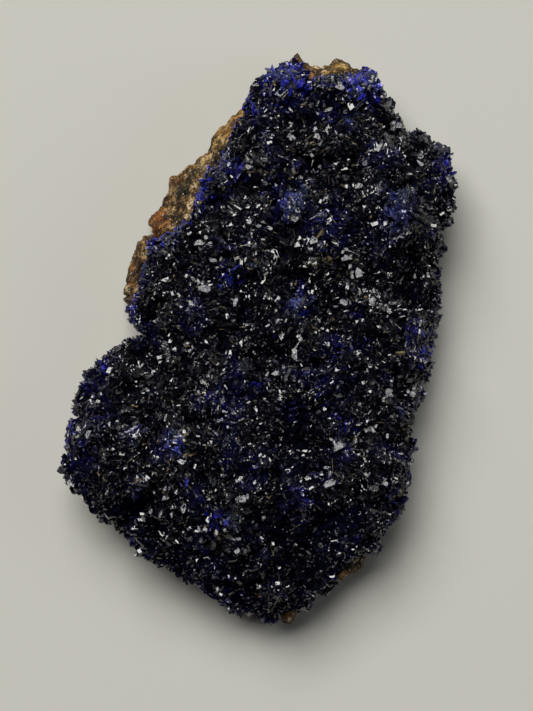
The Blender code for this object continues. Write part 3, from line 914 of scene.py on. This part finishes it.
def node(tree, kind, **settings):
    """A new node, with its inputs and its own settings given by their names."""
    made = tree.nodes.new(kind)
    for key, value in settings.items():
        if key in made.inputs:
            put(tree, made.inputs[key], value)
        else:
            setattr(made, key, value)
    return made


def ramp(tree, source, stops):
    made = node(tree, "ShaderNodeValToRGB", Fac=source)
    elements = made.color_ramp.elements
    while len(elements) < len(stops):
        elements.new(0.5)
    for element, (position, colour) in zip(elements, stops):
        element.position = position
        element.color = (*colour, 1)
    return made.outputs["Color"]


def mixed_colour(tree, share, first, second):
    """A mix of two colours. A Mix node takes them at its inputs 6 and 7, and gives theirs as output 2."""
    made = node(tree, "ShaderNodeMix", data_type="RGBA", Factor=share)
    for socket, colour in ((made.inputs[6], first), (made.inputs[7], second)):
        put(tree, socket, (*colour, 1) if isinstance(colour, tuple) else colour)
    return made.outputs[2]


def mapped(tree, source, given=(0, 1), wanted=(0, 1)):
    """The source's values over the given range, turned to the wanted one."""
    ends = zip(("From Min", "From Max", "To Min", "To Max"), (*given, *wanted))
    return node(tree, "ShaderNodeMapRange", Value=source, **dict(ends)).outputs["Result"]


def computed(tree, operation, *values):
    """What a Math node makes of the values."""
    made = node(tree, "ShaderNodeMath", operation=operation)
    for socket, value in zip(made.inputs, values):
        put(tree, socket, value)
    return made.outputs[0]


def attribute(tree, name):
    return node(tree, "ShaderNodeAttribute", attribute_name=name).outputs["Fac"]


def noise_texture(tree, feature, detail, roughness):
    """Noise over the object, for features of a length."""
    place = node(tree, "ShaderNodeTexCoord").outputs["Object"]
    settings = {"Vector": place, "Scale": 1 / feature, "Detail": detail, "Roughness": roughness}
    return node(tree, "ShaderNodeTexNoise", **settings).outputs["Fac"]


def spots(tree, feature, detail, roughness, low, high):
    """Where a noise rises over the values from low to high."""
    return mapped(tree, noise_texture(tree, feature, detail, roughness), given=(low, high))


def bump(tree, height, strength, distance):
    return node(tree, "ShaderNodeBump", Height=height, Strength=strength, Distance=distance).outputs["Normal"]


def new_material(name):
    made = bpy.data.materials.new(name)
    made.use_nodes = True
    return made, made.node_tree


def set_shader(tree, values):
    for name, value in values.items():
        put(tree, tree.nodes["Principled BSDF"].inputs[name], value)


def azurite_material():
    """Near-black glossy crystals that turn royal blue where they are thin, some under rock dust."""
    material, tree = new_material("azurite_faces")
    blue = ramp(tree, attribute(tree, "blue"), AZURITE_COLOURS)
    streaks = computed(tree, "MULTIPLY", spots(tree, *STREAKS), attribute(tree, "milky"))
    milky = mixed_colour(tree, streaks, blue, MILKY_COLOUR)
    dust = ramp(tree, noise_texture(tree, *DUST_NOISE), DUST_COLOURS)
    shade = attribute(tree, "shade")
    fine = noise_texture(tree, *FACE_NOISE)
    uneven = computed(tree, "MULTIPLY_ADD", spots(tree, *ETCHED), ETCHED_WEIGHT, fine)
    set_shader(tree, {
        "Base Color": mixed_colour(tree, attribute(tree, "earth"), milky, dust),
        "Roughness": mapped(tree, shade, wanted=AZURITE_ROUGHNESS),
        "IOR": AZURITE_IOR,
        "Normal": bump(tree, computed(tree, "MULTIPLY", uneven, shade), *AZURITE_BUMP),
    })
    return material


def limonite_material():
    """Iron-stained rock: golden, red-brown and dark patches, the dark partly painted shade in its pits, dark
    specks and a rough grain.
    """
    material, tree = new_material("limonite_rock")
    grain = noise_texture(tree, *ROCK_NOISE)
    colour = ramp(tree, grain, ROCK_COLOURS["brown"])
    for tint in ("gold", "red", "dark"):
        colour = mixed_colour(tree, attribute(tree, tint), colour, ramp(tree, grain, ROCK_COLOURS[tint]))
    specks = spots(tree, *DARK_SPECKS)
    colour = mixed_colour(tree, specks, colour, DARK_SPECK_COLOUR)
    set_shader(tree, {
        "Base Color": mixed_colour(tree, spots(tree, *PALE_SPECKS), colour, PALE_SPECK_COLOUR),
        "Roughness": mapped(tree, specks, wanted=ROCK_ROUGHNESS),
        "Specular IOR Level": DULL_SPECULAR,
        "Normal": bump(tree, noise_texture(tree, *ROCK_BUMP_NOISE), *ROCK_BUMP),
    })
    return material


def floor_material():
    material, tree = new_material("pale_floor")
    set_shader(tree, {
        "Base Color": (*FLOOR_COLOUR, 1), "Roughness": FLOOR_ROUGHNESS, "Specular IOR Level": DULL_SPECULAR,
    })
    return material


# ---- pieces


def rock_mesh():
    """The rock's solid with a broken, pitted surface, and flat where it rests."""
    mesh = remeshed("limonite_matrix", "limonite_rock", ROCK_VOXEL, ROCK_SMOOTHING)
    points, triangles = as_arrays(mesh)
    broad = smooth_noise(points, *NOISES["rock_broad"])
    ridges = RIDGE_TOP - np.abs(smooth_noise(points, *NOISES["rock_ridges"])) * RIDGE_STEEPNESS
    fine = smooth_noise(points, *NOISES["rock_fine"])
    lift = (ROCK_RELIEF[0] * broad + ROCK_RELIEF[1] * ridges + ROCK_RELIEF[2] * fine) * MM
    over_sole = np.clip(points[:, 2] / SOLE_HEIGHT, 0, 1)
    points = fitted_rock(points + read(mesh.vertices, "normal", np.float32) * (lift * over_sole)[:, None])
    points[:, 2] = np.maximum(points[:, 2], 0)
    made = mesh_from_arrays("limonite_rock", points, triangles)
    # painted shade: the rock's low places between the ridges are darkened
    pit_shade = PIT_PAINTED_SHADE * smoothstep(-PITS_FROM - ridges - fine)
    for tint, values in rock_tints(points, broad, pit_shade).items():
        add_attribute(made, tint, values)
    return made


def rock_tints(points, broad, pit_shade):
    """How golden, how red and how dark the rock is at each point; its dark includes painted shade in the
    pits.
    """
    near_top = smoothstep((points[:, 2] - TINT_LEVEL) / TINT_BLEND + 1 + TINT_FRAY * broad)
    gold, red, dark = (patch_share(points, kind) * near_top for kind in ("gold", "red", "dark"))
    elsewhere = drift(points, "dark") * (1 - np.maximum(gold, red))
    return {
        "gold": gold,
        "red": np.maximum(red, drift(points, "red")),
        "dark": np.max([dark, elsewhere, pit_shade], axis=0),
    }


def ground_mesh():
    """The crust without its crystals: its solid, smoothed, fitted to the outline and given lumps."""
    mesh = remeshed("azurite_crust", "azurite_ground", GROUND_VOXEL, GROUND_SMOOTHING)
    points, triangles = as_arrays(mesh)
    relief = relief_of(points, "ground", GROUND_RELIEF)
    points = fitted_ground(points) + read(mesh.vertices, "normal", np.float32) * relief[:, None]
    face = rise(points[:, 2], *FACE_LEVEL)
    depth = HOLLOW_DEPTH * patch_share(points, "hollow") + FURROW_DEPTH * furrow_share(points)
    lumps = relief_of(points, "lumps", GROUND_LUMPS)
    raised = points[:, 2] + face * (GROUND_LIFT - depth + lumps)
    points[:, 2] = np.minimum(raised, TOP_LEVEL - GROUND_FACETS)
    scattered = np.random.default_rng(SEED).uniform(-1, 1, points.shape) * GROUND_FACETS
    points += scattered * (1 - GROUND_CALM * darkness(points))[:, None]
    points, triangles = main_body(points, triangles)
    made = mesh_from_arrays("azurite_ground", points, triangles)
    for look, value in GROUND_LOOKS.items():
        add_attribute(made, look, np.full(len(points), value))
    return made


def relief_of(points, name, heights):
    """A broad and a fine noise together, each of its own height in mm."""
    broad, fine = (smooth_noise(points, *NOISES[name + size]) for size in ("_broad", "_fine"))
    return (heights[0] * broad + heights[1] * fine) * MM


def add_crystals(name, crystals, material):
    piece = add_piece(name, crystals.mesh(name), material)
    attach(piece, "root")
    return piece.data


def dress():
    azurite = azurite_material()
    rock = add_piece("limonite_rock", rock_mesh(), limonite_material())
    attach(rock, "root")
    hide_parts("limonite_matrix")

    ground = add_piece("azurite_ground", ground_mesh(), azurite)
    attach(ground, "root")
    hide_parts("azurite_crust")

    sites = ground_sites(ground.data, rock.data)
    dice = np.random.default_rng(SEED)
    grains = make_grains(sites, dice)
    grown = [ground.data]
    for name, layer in GROUND_LAYERS.items():
        crystals = grow(layer, FORMS, *spaced_sites(sites, layer, dice), grains, dice)
        grown.append(add_crystals(name, crystals, azurite))
    tree = surface_tree(grown)
    for name, layer in TOP_LAYERS.items():
        crystals = grow(layer, SMALL_FORMS, *exposed_sites(tree, sites, layer, dice), grains, dice)
        grown.append(add_crystals(name, crystals, azurite))
    add_crystals("azurite_glints", glints(surface_tree(grown), dice), azurite)


# ---- stage


def add_light(name, direction, distance, size, radiance, colour):
    light = bpy.data.lights.new(name, "AREA")
    light.color = colour
    light.shape = "RECTANGLE"
    light.size, light.size_y = size
    light.energy = radiance * math.pi * size[0] * size[1]
    made = add_object(name, light)
    made.location = direction * distance
    made.rotation_euler = direction.to_track_quat("Z", "Y").to_euler()


def add_floor():
    corners = [(x * FLOOR_HALF, y * FLOOR_HALF, 0) for x, y in ((-1, -1), (1, -1), (1, 1), (-1, 1))]
    floor_mesh = bpy.data.meshes.new("floor")
    floor_mesh.from_pydata(corners, [], [(0, 1, 2, 3)])
    floor = add_piece("floor", floor_mesh, floor_material())


def add_studio():
    """The world round the specimen, for its reflections."""
    world = bpy.data.worlds.new("studio")
    bpy.context.scene.world = world
    world.use_nodes = True
    tree = world.node_tree
    direction = node(tree, "ShaderNodeTexCoord").outputs["Generated"]
    height = node(tree, "ShaderNodeSeparateXYZ", Vector=direction).outputs["Z"]
    colour = ramp(tree, mapped(tree, height, given=HORIZON), [(0, WALL_COLOUR), (1, CEILING_COLOUR)])
    put(tree, tree.nodes["Background"].inputs["Color"], colour)


def add_camera():
    data = bpy.data.cameras.new("camera")
    data.lens = LENS
    data.sensor_width = SENSOR
    data.clip_start = CLIP_START
    camera = add_object("camera", data)
    camera.location = (*FRAME_MIDDLE, FRAME_LEVEL + FRAME_HEIGHT * LENS / SENSOR)
    bpy.context.scene.camera = camera


bpy.context.scene.view_settings.view_transform = "Standard"
dress()
add_floor()
for light_name, light_settings in LIGHTS.items():
    add_light(light_name, **light_settings)
add_studio()
add_camera()
